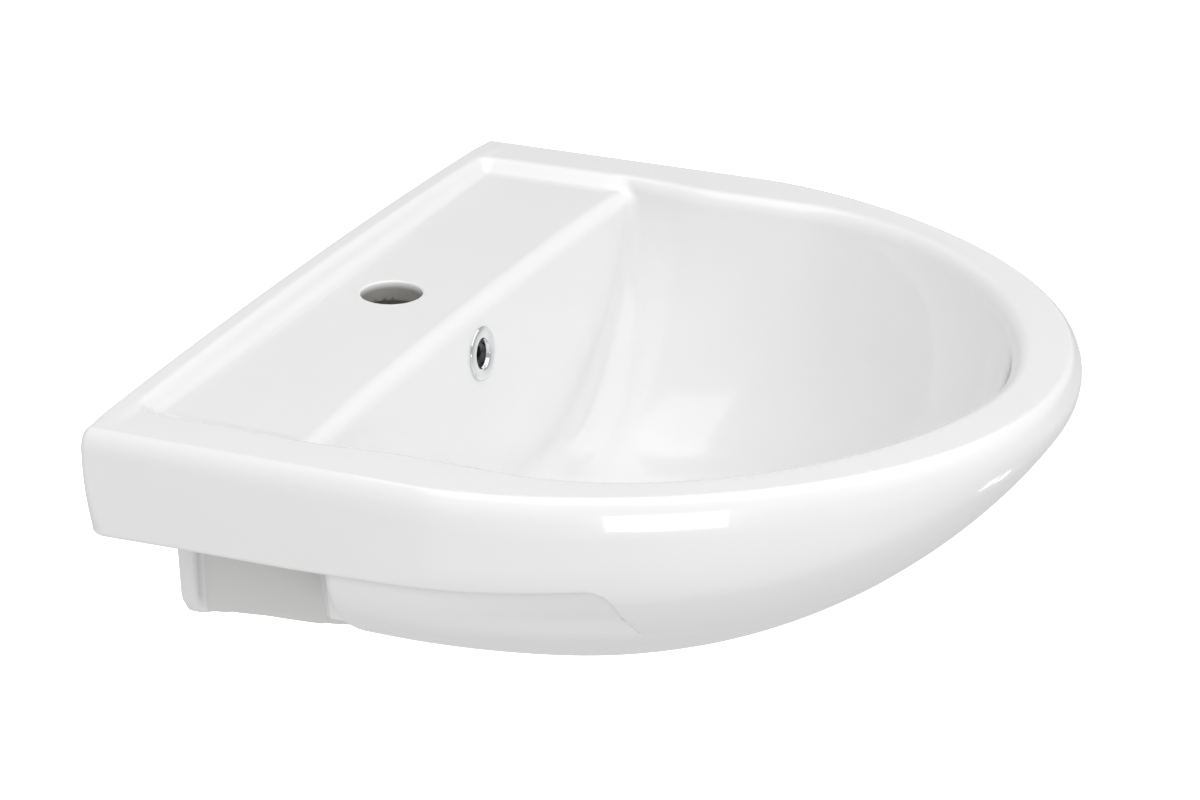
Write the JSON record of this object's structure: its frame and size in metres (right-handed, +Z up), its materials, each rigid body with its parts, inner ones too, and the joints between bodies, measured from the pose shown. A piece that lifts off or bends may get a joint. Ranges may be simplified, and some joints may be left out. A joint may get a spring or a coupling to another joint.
{
  "type": "washbasin",
  "caption": "Wall-hung D-shaped washbasin in glazed ceramic with a sunk tap deck, one tap hole, a ringed overflow, a waste outlet and a hollow back box.",
  "frame": {"origin": "on the wall plane, in the middle of the basin's width, level with the top of the rim at the sides", "axes": "+Z up, +Y into the wall, -Y towards the room, X across the basin's width"},
  "size_m": [0.5052, 0.45, 0.1829],
  "materials": {
    "glazed_white": "white high-gloss vitreous glaze",
    "chrome_trim": "polished chrome plate",
    "grey_plastic": "moulded translucent grey polyethylene"
  },
  "bodies": {
    "root": {"basin_body": "glazed_white", "overflow_ring": "chrome_trim", "overflow_sleeve": "grey_plastic"}
  },
  "joints": []
}
